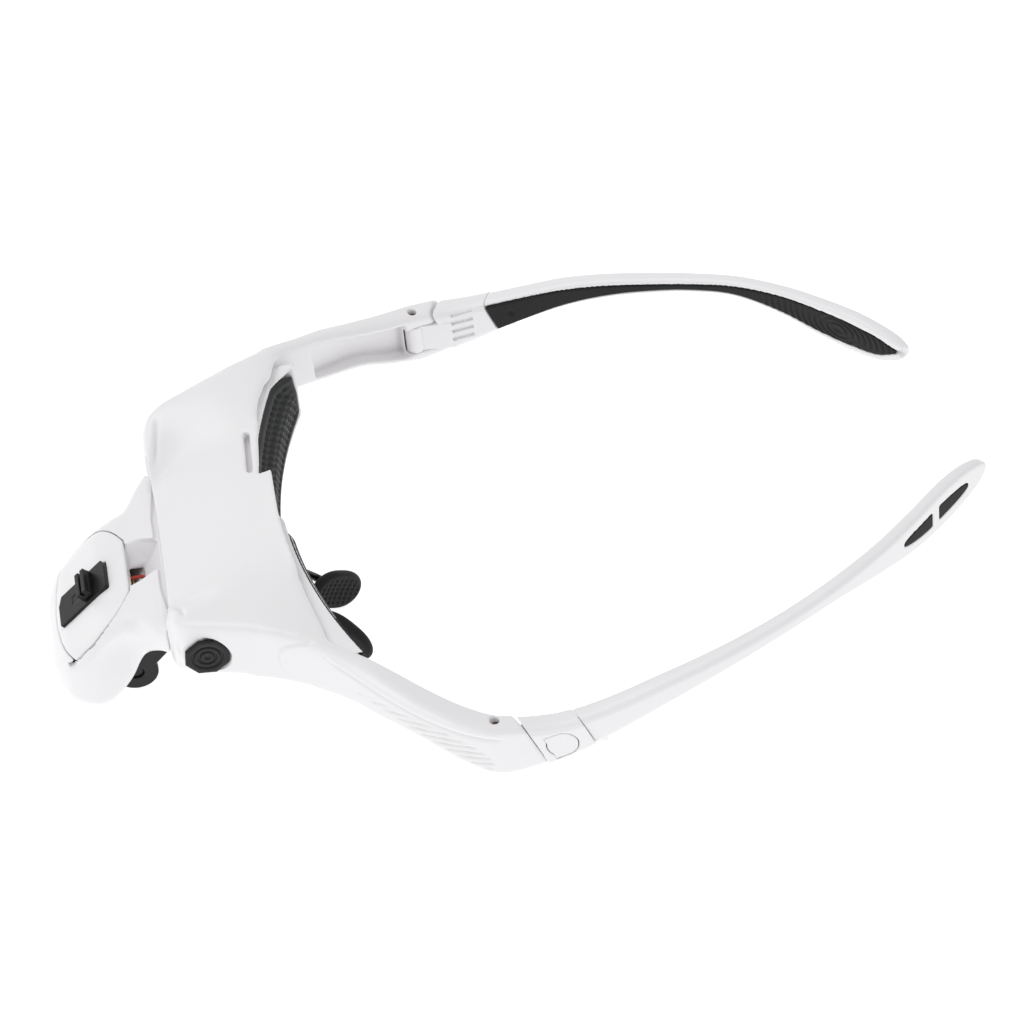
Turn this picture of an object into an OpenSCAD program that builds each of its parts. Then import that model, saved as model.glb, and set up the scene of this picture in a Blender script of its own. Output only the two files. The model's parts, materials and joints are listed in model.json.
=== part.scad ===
// Head visor magnifier: a glasses-style hood with a battery lamp nose, a flip-down lens,
// a forehead pad, nose pads and two folding temples that pull off their hinge links.
//
// Working axes, in millimetres: the origin lies midway between the two temple hinge pins,
// at the top of the arms. -Y is the front, +X is the wearer's left, +Z is up.
// placed() then tips the whole visor to the angle at which it lies on its nose and pads,
// and puts the origin under the middle of it.

/* [Head size] */
// Distance between the two temple hinge pins
hinge_span = 152; // [150:0.5:154]
// Outward swing of the left temple at rest, in degrees
left_rest_swing = 5.3; // [0:0.1:5.5]
// Inward swing of the right temple at rest, in degrees
right_rest_swing = 5.3; // [0:0.1:6]

/* [Hood] */
// Thickness of the moulded hood
wall = 2.2; // [1.8:0.1:2.6]
// Height of the crown of the hood above the arms
crown_z = 16.4; // [15.5:0.1:17]

/* [Temple hinges] */
// Diameter of the hinge pin
pin_d = 2.4; // [2:0.1:2.6]
// Gap between an arm and its hinge link
hinge_gap = 1.3; // [1.3:0.1:1.5]
// Play between a pin and the bore that turns on it
play = 0.05; // [0.02:0.01:0.09]
// Travel of the temple release button
latch_travel = 0.8; // [0.4:0.1:0.9]

/* [Lens] */
// Width of the lens plate
lens_w = 66; // [60:1:68]
// Depth of the lens plate
lens_depth = 13.2; // [12:0.2:13.4]
// Thickness of the lens plate
lens_t = 2; // [1.6:0.1:2.2]
// Octagonal pivot cap, across its flats
cap_flats = 11.1; // [10:0.1:12]
// Diameter of the lens pivot shaft
pivot_d = 4; // [3.4:0.1:4.4]

/* [Lamp] */
// Diameter of the coin cells
cell_d = 16; // [14:0.5:16]
// Thickness of one coin cell
cell_t = 2; // [1.6:0.1:2.1]
// Radius of the lamp barrel
barrel_r = 4.6; // [4.2:0.1:4.8]
// Travel of the slide switch
switch_travel = 4; // [2:0.5:4.5]

/* [Pads] */
// Thickness of the forehead pad
brow_pad_t = 3.4; // [2.5:0.1:3.6]
// Length of each nose pad
nose_pad_l = 18; // [16:0.5:19]
// Width of each nose pad
nose_pad_w = 11; // [9:0.5:12]

/* [Hidden] */

$fn = 48;
tiny = 0.01;
slip = 0.15;                    // clearance between pieces that only lie together
rest_tilt = 4.5;                // how far the visor leans back when it lies down
origin_y = 12.9;                // middle of the seated visor's length, after the tilt
floor_z = -40.4;                // lowest point of the seated visor, after the tilt

pin_x = hinge_span / 2;
pin_r = pin_d / 2;
seam_slope = 0.38;              // how far a seam runs back for each millimetre down
seam_skew = 22;                 // turn of a seam in plan, outer end back
seam_angle = atan(seam_slope);
arm_end_y = 3.8;                // where the arm stops, at its inner top edge
temple_seam_y = 19.3;           // where the link stops and the temple begins
latch_gap = 0.25;
latch_x = pin_x + 3.6;          // inner face of the release button

pivot_y = -67.6;                // the lens pivot axis
pivot_z = 5.4;
pivot_x = 43.2;                 // outer face of the boss under each pivot cap
boss_from = 36.2;               // inner face of that boss
hood_slope = 30;                // pitch of the hood and of the stowed lens

lamp_y = -87;                   // the lamp barrel axis
lamp_z = -24.2;
barrel_half = 14.8;
led_x = 8;

cover_slope = 43;               // pitch of the nose top where the switch sits
cover_y = -97;                  // middle of the battery bay, on the nose surface
cover_z = -9.2;

white = [0.93, 0.93, 0.94];
black = [0.07, 0.07, 0.08];
steel = [0.7, 0.71, 0.73];

// ---- curves -------------------------------------------------------------------------

function smooth(t) = let (c = min(1, max(0, t))) c * c * (3 - 2 * c);
function mix(a, b, t) = a + (b - a) * t;

// Smooth curve through a list of knots, read at s = 0 for the first, 1 for the next.
function knot(k, i) = k[min(len(k) - 1, max(0, i))];
function curve(k, s) =
  let (i = min(len(k) - 2, max(0, floor(s))), t = s - i,
    a = knot(k, i), b = knot(k, i + 1),
    ta = (b - knot(k, i - 1)) / 2, tb = (knot(k, i + 2) - a) / 2)
  a * (2 * t * t * t - 3 * t * t + 1) + ta * (t * t * t - 2 * t * t + t)
  + b * (3 * t * t - 2 * t * t * t) + tb * (t * t * t - t * t);

// Unit normal of a plan path, to the left of its direction of travel
function side_normal(k, s) =
  let (d = curve(k, s + tiny) - curve(k, s - tiny), n = norm([d[0], d[1]]))
  [-d[1] / n, d[0] / n, 0];

// Ring of a rounded rectangle from [0, low] to [w, top], corner radius r
function rounded_ring(w, top, low, r, steps = 2) =
  [for (c = [[r, top - r, 180], [w - r, top - r, 90], [w - r, low + r, 0], [r, low + r, -90]])
    for (q = [0 : steps])
      [c[0] + r * cos(c[2] - 90 * q / steps), c[1] + r * sin(c[2] - 90 * q / steps)]];

// ---- solids from curves -------------------------------------------------------------

// Twice the area of a ring as a vector, by the right-hand rule
function ring_area(ring, j = 0) =
  j >= len(ring) ? [0, 0, 0] : cross(ring[j], ring[(j + 1) % len(ring)]) + ring_area(ring, j + 1);

// Closed solid through a list of equal rings, each flat
module loft(rings) {
  n = len(rings[0]);
  m = len(rings);
  faces = concat(
    [[for (j = [0 : n - 1]) j]],
    [for (i = [0 : m - 2]) for (j = [0 : n - 1])
      each [[i * n + j, (i + 1) * n + j, (i + 1) * n + (j + 1) % n],
        [i * n + j, (i + 1) * n + (j + 1) % n, i * n + (j + 1) % n]]],
    [[for (j = [n - 1 : -1 : 0]) (m - 1) * n + j]]);
  inside_out = ring_area(rings[0]) * (rings[1][0] - rings[0][0]) < 0;
  polyhedron(
    points = [for (ring = rings) each ring],
    faces = inside_out ? [for (f = faces) [for (j = [len(f) - 1 : -1 : 0]) f[j]]] : faces,
    convexity = 6);
}

// Closed slab of thickness t under a grid of surface points
module slab(grid, t) {
  rows = len(grid);
  cols = len(grid[0]);
  count = rows * cols;
  top = [for (row = grid) each row];
  edge = concat([for (j = [0 : cols - 1]) j],
    [for (i = [1 : rows - 1]) i * cols + cols - 1],
    [for (j = [cols - 2 : -1 : 0]) (rows - 1) * cols + j],
    [for (i = [rows - 2 : -1 : 1]) i * cols]);
  polyhedron(
    points = concat(top, [for (p = top) p - [0, 0, t]]),
    faces = concat(
      [for (i = [0 : rows - 2]) for (j = [0 : cols - 2])
        let (a = i * cols + j, b = a + 1, c = b + cols, d = a + cols)
        each [[a, c, b], [a, d, c], [count + a, count + b, count + c],
          [count + a, count + c, count + d]]],
      [for (e = [0 : len(edge) - 1]) let (a = edge[e], b = edge[(e + 1) % len(edge)])
        each [[a, b, count + b], [a, count + b, count + a]]]),
    convexity = 6);
}

module both_sides() {
  children();
  mirror([1, 0, 0]) children();
}

// Turns the left side's parts about the left pin, outward for a positive angle
module swing_out(angle) {
  translate([pin_x, 0, 0]) rotate([0, 0, -angle]) translate([-pin_x, 0, 0]) children();
}

module placed() {
  translate([0, -origin_y, -floor_z]) rotate([rest_tilt, 0, 0]) children();
}

// Everything above the floor that the seated visor lies on
module above_floor() {
  reach = 400;
  rotate([-rest_tilt, 0, 0]) translate([-reach / 2, -reach / 2, floor_z]) cube(reach);
}

// Everything in front of a slanted seam, whose inner top edge is at y
module ahead_of(y) {
  reach = 400;
  translate([pin_x - 1.5, y, 0]) rotate([seam_angle, 0, 0]) rotate([0, 0, seam_skew])
    translate([-reach / 2, -reach, -reach / 2]) cube(reach);
}

// Axes on the nose top: x across, y down the slope to the front, z out of the surface
module on_nose(lift = 0) {
  translate([0, cover_y, cover_z]) rotate([cover_slope, 0, 0]) translate([0, 0, lift])
    rotate([0, 0, 180]) children();
}

brow_half = 50;
brow_screw_x = 40;
brow_screw_z = -3;
function brow_y(x) = -44.2 + 6.9 * pow(x / 40, 2);

// Axes on the brow line at x: y points back, square to the line
module on_brow(x) {
  turn = atan(0.345 * x / 40);
  translate([x, brow_y(x), 0]) rotate([0, 0, turn]) children();
}

// ---- hood and arms ------------------------------------------------------------------

// Left side of the hood and its arm: x, y of the outer face, top, low edge, thickness
band = [
  [26, -76.2, 2.6, -5, wall],
  [32, -76.6, 9, -4.8, wall],
  [37.6, -75.2, 13, -4.2, wall],
  [41.2, -71, 14.6, -3.4, wall],
  [44, -64.5, 15.6, -2.6, wall],
  [48, -55, 16.6, -1.2, wall],
  [52.8, -45.5, crown_z, -0.8, wall + 0.6],
  [58, -36.5, 14.4, -2, wall + 1.8],
  [64.5, -27.5, 10.4, -5.2, 5],
  [pin_x - 5.2, -18.5, 5.6, -8.4, 6],
  [pin_x, -9.5, 2, -13.4, 6.3],
  [pin_x + 3.6, -1, 0.3, -16.4, 6.3],
  [pin_x + 4.8, 7.5, 0, -15.2, 6.3],
  [pin_x + 4.9, 16, 0.6, -12.2, 6.2],
  [pin_x + 4.6, 26, 2.4, -7.8, 6]];

function band_point(s, a, z) =
  let (k = curve(band, s), n = side_normal(band, s)) [k[0] + a * n[0], k[1] + a * n[1], z];

// One flat ring across the band, inset from its faces by the given amounts
function band_ring(s, outer, inner, top, low, r) =
  let (k = curve(band, s))
  [for (p = rounded_ring(k[4] - outer - inner, k[2] - top, k[3] + low, r))
    band_point(s, outer + p[0], p[1])];

module band_solid(from, to, steps) {
  loft([for (i = [0 : steps])
    let (s = mix(from, to, i / steps), k = curve(band, s), r = min(1.8, k[4] / 2.4))
    band_ring(s, 0, 0, 0, 0, r)]);
}

// Hollow of the C-section arm, open on its inner side
module arm_hollow() {
  steps = 7;
  loft([for (i = [0 : steps]) let (s = mix(7.6, 10.55, i / steps))
    band_ring(s, 1.7, -3, 2.2, 2.2, 0.5)]);
}

// Hood surface: u runs across from -1 to 1, v from the front edge to the rear edge
function hood_edge(v) = curve(band, mix(1, 7, v));
function hood_centre_y(v) = mix(-75.4, -44.4, v);
function hood_centre_z(v) = mix(2.7, 20.1, v) - 3.7 * smooth((v - 0.55) / 0.6);
function hood_point(u, v) =
  let (e = hood_edge(v), a = abs(u), rise = smooth((a - mix(0.66, 0.3, v)) / mix(0.3, 0.7, v)))
  [u * (e[0] - 1.1), mix(hood_centre_y(v), e[1] + 0.4, a * a * a),
    mix(hood_centre_z(v), e[2] - 0.2, rise)];

module hood_sheet() {
  across = 24;
  along = 7;
  slab([for (i = [0 : along]) [for (j = [0 : across])
    hood_point(-1 + 2 * j / across, i / along)]], wall);
}

// Slot and tab at the rear edge of the hood, where the brow frame clips in
module rear_latch_cut() {
  translate([-21, -48.2, 8]) cube([11, 8, 12]);
}

// Pocket in the arm's end for the knuckle of the hinge link
module knuckle_pocket() {
  pocket_r = 2.95;
  translate([pin_x, 0, -13]) cylinder(r = pocket_r, h = 9.2);
  translate([pin_x - 9, -pocket_r, -13]) cube([9, 2 * pocket_r, 9.2]);
  translate([pin_x - 9, 0, -13]) cube([9 + pocket_r, 12, 9.2]);
}

module arm() {
  difference() {
    intersection() {
      band_solid(0, 13, 28);
      ahead_of(arm_end_y);
    }
    arm_hollow();
    knuckle_pocket();
    translate([pin_x, 0, -20]) cylinder(r = pin_r + 0.02, h = 22);
  }
  translate([boss_from, pivot_y, pivot_z]) rotate([0, 90, 0])
    cylinder(d = cap_flats + 2.4, h = pivot_x - boss_from);
}

// Flat round recess in the outer face of the arm, for the pivot cap
module cap_recess() {
  translate([pivot_x, pivot_y, pivot_z]) rotate([0, 90, 0]) cylinder(d = cap_flats + 2.4, h = 9);
}

// Lug under the hood that a brow screw passes through
module brow_lug() {
  on_brow(brow_screw_x) difference() {
    translate([-4, -6.8, -6]) cube([8, 1.6, 19.6]);
    translate([0, -8, brow_screw_z]) rotate([-90, 0, 0]) cylinder(d = 2.2, h = 4);
  }
}

module visor_shell() color(white) placed() {
  difference() {
    union() {
      hood_sheet();
      both_sides() {
        arm();
        brow_lug();
      }
    }
    both_sides() {
      cap_recess();
      translate([boss_from - 1, pivot_y, pivot_z]) rotate([0, 90, 0])
        cylinder(d = pivot_d + 2 * play, h = pivot_x - boss_from + 2);
    }
    rear_latch_cut();
  }
}

// ---- brow ---------------------------------------------------------------------------

// Plan outline of a band that follows the brow, from `back` to `front` ahead of the skin
module brow_plan(half, back, front) {
  steps = 24;
  polygon(concat(
    [for (i = [0 : steps]) let (x = mix(-half, half, i / steps)) [x, brow_y(x) - back]],
    [for (i = [steps : -1 : 0]) let (x = mix(-half, half, i / steps)) [x, brow_y(x) - front]]));
}

module brow_slice(half, back, front, low, top) {
  translate([0, 0, low]) linear_extrude(top - low) brow_plan(half, back, front);
}

module brow_frame() color(white) placed() {
  front = brow_pad_t + 1.8;
  difference() {
    brow_slice(brow_half + 1, 0.6, front, -7, 11.7);
    brow_slice(brow_half - 0.2, 0, brow_pad_t + slip, -5.6, 11.1);
    both_sides() on_brow(brow_screw_x) translate([0, -8, brow_screw_z]) rotate([-90, 0, 0])
      cylinder(d = 2.2, h = 5.2);
  }
}

module forehead_pad() color(black) placed() {
  brow_slice(brow_half - 0.6, 0, brow_pad_t, -5.2, 10.8);
}

// Two spring tabs that press the brow frame back, one each side of the nose bridge
module brow_clips() color(white) placed() {
  both_sides() on_brow(16) translate([-3, -6.4, -6.5]) cube([6, 0.9, 9]);
}

module brow_screws() color(steel) placed() {
  both_sides() on_brow(brow_screw_x) translate([0, -8.3, brow_screw_z]) rotate([-90, 0, 0]) {
    cylinder(d = 3.6, h = 1.4);
    cylinder(d = 2, h = 4.7);
  }
}

// ---- lamp nose ----------------------------------------------------------------------

// Nose sections from the hood to the front: y, half width, top, low edge, corner radius
nose = [
  [-77.1, 31, 1, -6.2, 3],
  [-80, 27.6, 0.2, -8.6, 3.6],
  [-84, 22.6, -1.4, -15.5, 5],
  [-88, 20.4, -2.6, -24.5, 6],
  [-92, 20, -5, -30, 7],
  [-96, 19.8, -8.6, -32.8, 8],
  [-100, 19.2, -12.4, -33.2, 8],
  [-104, 17.4, -16.2, -32.2, 6.5],
  [-106.6, 13.6, -20, -30, 4.5],
  [-107.6, 10.6, -22.4, -28, 2.5]];
nose_split_z = -27.6;           // where the lamp base meets the housing
base_screw_x = 12;
base_screw_y = -99;

// Rounded section of the nose, inset all round
function nose_ring(s, inset) =
  let (k = curve(nose, s), w = k[1] - inset, r = max(0.6, k[4] - inset))
  [for (p = rounded_ring(2 * w, k[2] - inset, k[3] + inset, r, 3)) [p[0] - w, k[0], p[1]]];

module nose_solid(from, to, inset, steps) {
  loft([for (i = [0 : steps]) nose_ring(mix(from, to, i / steps), inset)]);
}

// Plan of the battery cover on the nose slope, wide and round to the front
module cover_plan(grow) {
  rear = 15.6;
  polygon(concat(
    [[-10 - grow, -rear + 1 - grow], [10 + grow, -rear + 1 - grow]],
    [for (q = [-20 : 10 : 200]) let (a = 90 - q) [(15.4 + grow) * cos(q), (10 + grow) * sin(q) + 1]]));
}

cradle_r = barrel_r + 1.2;
cells_low = -4.7 - 2 * cell_t;  // underside of the lower cell, below the nose surface

module lamp_hollow() {
  nose_solid(0.8, 8.2, wall, 11);
}

// Space between the nose's side walls for the lamp barrel and its cradle
module lamp_room() {
  translate([0, lamp_y, lamp_z]) rotate([0, 90, 0])
    cylinder(r = cradle_r + 0.3, h = 2 * (barrel_half + 2.8), center = true);
}

// Open pocket between the battery cover and the hood, narrower at the hood
module wire_pocket() {
  translate([0, 0, -6]) linear_extrude(20)
    polygon([[-9.5, -86], [9.5, -86], [7.8, -77.5], [7.8, -60], [-7.8, -60], [-7.8, -77.5]]);
}

module lamp_housing() color(white) placed() {
  difference() {
    nose_solid(0, 9, 0, 16);
    lamp_hollow();
    translate([-40, -120, nose_split_z - 40]) cube([80, 60, 40]);
    on_nose(-6) linear_extrude(20) cover_plan(0.15);
    wire_pocket();
    lamp_room();
  }
  both_sides() difference() {
    union() {
      translate([base_screw_x, base_screw_y, nose_split_z]) cylinder(d = 4.6, h = 5.5);
      translate([base_screw_x, base_screw_y - 0.8, nose_split_z]) cube([5.2, 1.6, 5.5]);
    }
    translate([base_screw_x, base_screw_y, nose_split_z - 1]) cylinder(d = 2.1, h = 8);
  }
}

module lamp_base() color(white) placed() {
  difference() {
    intersection() {
      nose_solid(3, 8.6, 0, 10);
      translate([-40, -120, nose_split_z - slip - 40]) cube([80, 60, 40]);
      above_floor();
    }
    lamp_room();
    both_sides() translate([base_screw_x, base_screw_y, -35]) {
      cylinder(d = 2.4, h = 9);
      cylinder(d = 3.8, h = 5.2);
    }
  }
}

module battery_cover() color(white) placed() {
  intersection() {
    nose_solid(1, 9, 0, 14);
    on_nose(-3.2) linear_extrude(14) difference() {
      cover_plan(0);
      translate([-4.6, -7.8]) square([9.2, 15.6]);
    }
  }
}

module coin_cells() color(steel) placed() {
  on_nose(cells_low) for (i = [0, 1])
    translate([0, 0, i * (cell_t + 0.1)]) cylinder(d = cell_d, h = cell_t);
}

module battery_clip() color([0.8, 0.7, 0.45]) placed() {
  on_nose(cells_low - 0.8) translate([-4, -9, 0]) cube([8, 18, 0.5]);
}

module circuit_board() color([0.15, 0.4, 0.2]) placed() {
  translate([-9, -103, nose_split_z + 1]) cube([18, 7.5, 1.2]);
}

module switch_body() color(steel) placed() {
  on_nose(-4.4) translate([-4, -4.4, 0]) cube([8, 8.8, 2.6]);
}

module switch_plate() color(black) placed() {
  on_nose(-1.6) difference() {
    linear_extrude(2) polygon([[-4.4, -6.4], [-3.2, -7.6], [4.4, -7.6], [4.4, 6.2], [3, 7.6], [-4.4, 7.6]]);
    translate([-1.4, -1.8 - switch_travel / 2, -1]) cube([2.8, 3.6 + switch_travel, 4]);
  }
}

module switch_knob() color(black) placed() {
  start = -switch_travel / 2;
  on_nose() translate([0, start, 0]) {
    translate([-1.1, -1.5, -1.5]) cube([2.2, 3, 2.2]);
    for (y = [-1.5, 0.3]) translate([-4, y, 0.55]) cube([8, 1.2, 2.6]);
    translate([-4, -1.5, 0.55]) cube([8, 3, 1.2]);
  }
}

module lead_wires() color([0.85, 0.25, 0.1]) placed() {
  for (x = [-1.2, 1.2]) translate([x, -86, -4.6]) rotate([-77, 0, 0]) cylinder(d = 1.4, h = 13);
}

// Trough round the upper half of the lamp barrel, with a round ear at each end
module lamp_cradle() color(black) placed() {
  outer_r = cradle_r;
  ear = barrel_half + 0.3;
  both_sides() translate([ear + 1, lamp_y, lamp_z]) rotate([47, 0, 0])
    translate([-1, 3.6, -2.6]) cube([2, 10.4, 5.2]);
  translate([0, lamp_y, lamp_z]) rotate([0, 90, 0]) {
    difference() {
      cylinder(r = outer_r, h = 2 * ear, center = true);
      cylinder(r = barrel_r + 0.3, h = 2 * ear + 2, center = true);
      translate([-2, -outer_r - 1, -ear - 1]) cube([20, 2 * outer_r + 2, 2 * ear + 2]);
    }
    for (side = [-1, 1]) translate([0, 0, side * (ear + 1)]) difference() {
      cylinder(r = outer_r, h = 2, center = true);
      cylinder(r = 2 + play, h = 4, center = true);
    }
  }
}

module lamp_barrel() color(black) placed() {
  translate([0, lamp_y, lamp_z]) rotate([0, 90, 0]) {
    difference() {
      cylinder(r = barrel_r, h = 2 * barrel_half, center = true);
      for (x = [-led_x, led_x]) translate([0, 0, x]) rotate([0, 90, 0]) cylinder(d = 5.4, h = 12);
    }
    for (side = [-1, 1]) translate([0, 0, side * barrel_half]) cylinder(r = 2, h = 3.6, center = true);
  }
}

module lamp_leds() color([1, 0.95, 0.7]) placed() {
  for (x = [-led_x, led_x]) translate([x, lamp_y, lamp_z - 1.6]) {
    cylinder(d = 3.6, h = 1.58);
    sphere(d = 3);
  }
}

module lamp_window() color([0.8, 0.85, 0.9, 0.5]) placed() {
  for (x = [-led_x, led_x]) translate([x, lamp_y, lamp_z - barrel_r + 0.8]) cylinder(d = 5.2, h = 0.6);
}

module housing_screws() color(steel) placed() {
  both_sides() translate([base_screw_x, base_screw_y, -31]) {
    cylinder(d = 2, h = 8);
    cylinder(d = 3.4, h = 1);
  }
}

// ---- lens ---------------------------------------------------------------------------

// Axes on the stowed lens: y back along the underside of the hood, z square to it
module on_lens() {
  translate([0, pivot_y, pivot_z]) rotate([hood_slope, 0, 0]) children();
}

module lens_carrier() color(black) placed() {
  arm_x = lens_w / 2 + 0.4;
  on_lens() {
    both_sides() difference() {
      union() {
        translate([arm_x, 0, 0]) rotate([0, 90, 0]) cylinder(r = 3.6, h = 2);
        translate([arm_x, 0, -5.8]) cube([2, lens_depth + 1.4, 4]);
        translate([arm_x, -2, -5.8]) cube([2, 5, 5.8]);
      }
      translate([arm_x - 1, 0, 0]) rotate([0, 90, 0]) cylinder(d = pivot_d + 0.04, h = 5);
    }
    translate([-arm_x, 0.6, -6.6]) cube([2 * arm_x, 2.4, 1.2]);
    translate([-arm_x, 0.6, -3.2]) cube([2 * arm_x, 1.2, 1.2]);
  }
}

module lens_plate() color([0.8, 0.9, 0.95, 0.35]) placed() {
  on_lens() translate([-lens_w / 2, 1.9, -5.3]) difference() {
    cube([lens_w, lens_depth, lens_t]);
    translate([lens_w / 2, lens_depth + 2, -1]) cylinder(r = 7, h = lens_t + 2);
  }
}

// Octagonal caps with stepped rings, each with its pivot shaft
module pivot_caps() color(black) placed() {
  cap_t = 1.2;
  both_sides() translate([pivot_x + 0.1, pivot_y, pivot_z]) rotate([0, 90, 0]) {
    difference() {
      rotate(22.5) cylinder(d = cap_flats / cos(22.5), h = cap_t, $fn = 8);
      for (ring = [[7.6, 6.4], [4.6, 3.6]]) translate([0, 0, cap_t - 0.5]) difference() {
        cylinder(d = ring[0], h = 1);
        translate([0, 0, -1]) cylinder(d = ring[1], h = 3);
      }
      translate([0, 0, cap_t - 0.9]) cylinder(d = 1.6, h = 2);
    }
    mirror([0, 0, 1]) translate([0, 0, -tiny]) cylinder(d = pivot_d, h = pivot_x - lens_w / 2 - 0.5);
  }
}

module pivot_washers() color(steel) placed() {
  both_sides() translate([boss_from - 0.6, pivot_y, pivot_z]) rotate([0, 90, 0]) difference() {
    cylinder(d = 7, h = 0.5);
    translate([0, 0, -1]) cylinder(d = pivot_d + 0.2, h = 3);
  }
}

// ---- nose rest ----------------------------------------------------------------------

pad_at = [8.5, -32.4, -31.7];   // middle of the left pad
pad_turn = [0, 90, 145.5];      // its thickness points out from the nose, level
pad_roll = -53.1;               // its length runs back, down and out
pad_t = 3;
pad_pivot = -2.95;              // the rocking axis, behind the middle of the pad

// Axes on the left pad: x along it, z square to it, towards the nose
module on_pad() {
  translate(pad_at) rotate(pad_turn) rotate([0, 0, pad_roll]) children();
}

module nose_bridge() color(black) placed() {
  translate([-7, -50.4, -13]) cube([14, 5.4, 5.8]);
  translate([-5, -52.2, -13]) cube([10, 1.7, 8.8]);
  translate([-5, -50.6, -13]) cube([10, 0.3, 5.8]);
}

// Left stem: knots from the bridge to the eye behind the pad
stem = [[4.5, -46.4, -14.3], [8, -42.4, -21], [11.4, -37.6, -28.6], [10.93, -34.07, -31.7]];

module nose_stems() color(black) placed() {
  both_sides() {
    for (i = [0 : len(stem) - 2]) hull() {
      translate(stem[i]) sphere(r = 1.1, $fn = 14);
      translate(stem[i + 1]) sphere(r = 1.1, $fn = 14);
    }
    on_pad() translate([0, 0, pad_pivot]) rotate([90, 0, 0]) cylinder(r = 1.2, h = 3.3, center = true);
  }
}

module nose_pad() {
  end = (nose_pad_l - nose_pad_w) / 2;
  on_pad() translate([0, 0, -pad_t / 2]) linear_extrude(pad_t) {
    for (x = [-end, end]) translate([x, 0]) circle(d = nose_pad_w);
    square([2 * end, nose_pad_w], center = true);
  }
  on_pad() for (side = [-1, 1]) translate([0, side * 2.35, pad_pivot]) {
    rotate([90, 0, 0]) cylinder(r = 1.2, h = 1, center = true);
    translate([-1.2, -0.5, 0]) cube([2.4, 1, 1.5]);
  }
}

module nose_pad_left() color(black) placed() nose_pad();
module nose_pad_right() color(black) placed() mirror([1, 0, 0]) nose_pad();

// ---- temple hinges ------------------------------------------------------------------

module link_socket() {
  translate([pin_x + 0.3, 10, -9.1]) cube([2.2, 20, 7.8]);
}

module latch_plan(grow) {
  translate([16.2, -5.9]) rotate(atan(seam_slope)) {
    circle(r = 3.9 + grow);
    translate([-3.4, -3.9 - grow]) square([3.4, 7.8 + 2 * grow]);
  }
}

// Stands a plan drawn in y and z on the outer face of the link
module on_link_side(x) {
  translate([x, 0, 0]) rotate([90, 0, 90]) children();
}

module hinge_link() {
  front = arm_end_y + hinge_gap;
  knuckle_low = -12.8;
  knuckle_h = 8.8;
  difference() {
    union() {
      intersection() {
        difference() {
          band_solid(11.4, 14, 8);
          ahead_of(front);
        }
        ahead_of(temple_seam_y);
      }
      translate([pin_x, 0, knuckle_low]) cylinder(r = 2.6, h = knuckle_h);
      translate([pin_x - 1.6, 0, knuckle_low]) cube([3.6, 11, knuckle_h]);
    }
    link_socket();
    on_link_side(latch_x - latch_travel - 0.4) linear_extrude(8) latch_plan(latch_gap);
    for (z = [-10.6, -7.8, -5, -2.2]) translate([pin_x - 3, 10.4, z]) rotate([12, 0, 0]) cube([2.3, 6, 1.3]);
    translate([pin_x, 0, -20]) cylinder(r = pin_r + play, h = 22);
  }
}

module hinge_pin() {
  translate([pin_x, 0, -15.6]) cylinder(r = pin_r, h = 14);
}

module latch() {
  on_link_side(latch_x) linear_extrude(1.2) latch_plan(0);
}

// ---- temples ------------------------------------------------------------------------

// Temple from the link to the tip: x, y, z of its middle, half height, thickness
temple = [
  [pin_x + 2.2, 10, -7.1, 7, 5.8],
  [pin_x + 1.6, 20, -4.4, 5.7, 5.8],
  [pin_x + 0.5, 30, -0.8, 4.7, 5.6],
  [pin_x - 1.4, 41, 3.4, 3.9, 5.2],
  [pin_x - 4.2, 52, 6.8, 3.1, 4.8],
  [pin_x - 7.9, 63, 9.7, 2.6, 4.4],
  [pin_x - 12.8, 75, 12.8, 2.3, 4.2],
  [pin_x - 19, 87, 15.5, 2.6, 4],
  [pin_x - 27, 98.6, 16.4, 4, 3.8],
  [pin_x - 35.2, 108, 16.6, 5.6, 3.7],
  [pin_x - 42.6, 115.6, 17.4, 6.2, 3.6],
  [pin_x - 48.4, 121.6, 18, 5.4, 3.5],
  [pin_x - 52.2, 126, 18.6, 3.5, 3],
  [pin_x - 53.8, 128.2, 18.9, 1.3, 2]];

// One flat ring across the temple: a is measured inward from its middle
function temple_ring(s, a0, a1, low, top, r, steps = 2) =
  let (k = curve(temple, s), n = side_normal(temple, s))
  [for (p = rounded_ring(a1 - a0, top, low, r, steps))
    [k[0] + (a0 + p[0]) * n[0], k[1] + (a0 + p[0]) * n[1], k[2] + p[1]]];

module temple_solid() {
  steps = 26;
  loft([for (i = [0 : steps]) let (s = 13 * i / steps, k = curve(temple, s))
    temple_ring(s, -k[4] / 2, k[4] / 2, -k[3], k[3], min(k[4] / 2.3, k[3] / 1.2))]);
}

// Where the two tip inserts lie: along the temple, and half their height there
insert_from = 8.75;
insert_to = 10.95;
insert_middle = (insert_from + insert_to) / 2;
function insert_half(s) =
  2.5 * sqrt(max(0, 1 - pow((2 * s - insert_from - insert_to) / (insert_to - insert_from), 2)));

module insert_solid(from, to, grow, lift) {
  steps = 7;
  loft([for (i = [0 : steps])
    let (s = mix(from, to, i / steps), k = curve(temple, s), h = insert_half(s) + grow)
    temple_ring(s, -k[4] / 2 - lift, -k[4] / 2 + 0.8 + grow, -h, h, 0.2, 1)]);
}

module inserts(grow, lift) {
  insert_solid(insert_from + 0.08, insert_middle - 0.13, grow, lift);
  insert_solid(insert_middle + 0.13, insert_to - 0.08, grow, lift);
}

module temple_body() {
  seam_gap = 0.3;
  difference() {
    temple_solid();
    ahead_of(temple_seam_y + seam_gap);
    inserts(0.08, 1);
  }
  translate([pin_x + 0.5, 10.6, -8.8]) cube([1.8, 17, 7.2]);
}

// Rubber lining on the inner face, full height at the link, thin, then wide at the tip
lining_t = 1;
function lining_half(s) = curve([[5.4], [4.7], [3.9], [2.6], [1.7], [1.1], [0.9], [1.3], [2.6],
  [3.7], [3.8], [3], [0.7]], s)[0];

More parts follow.
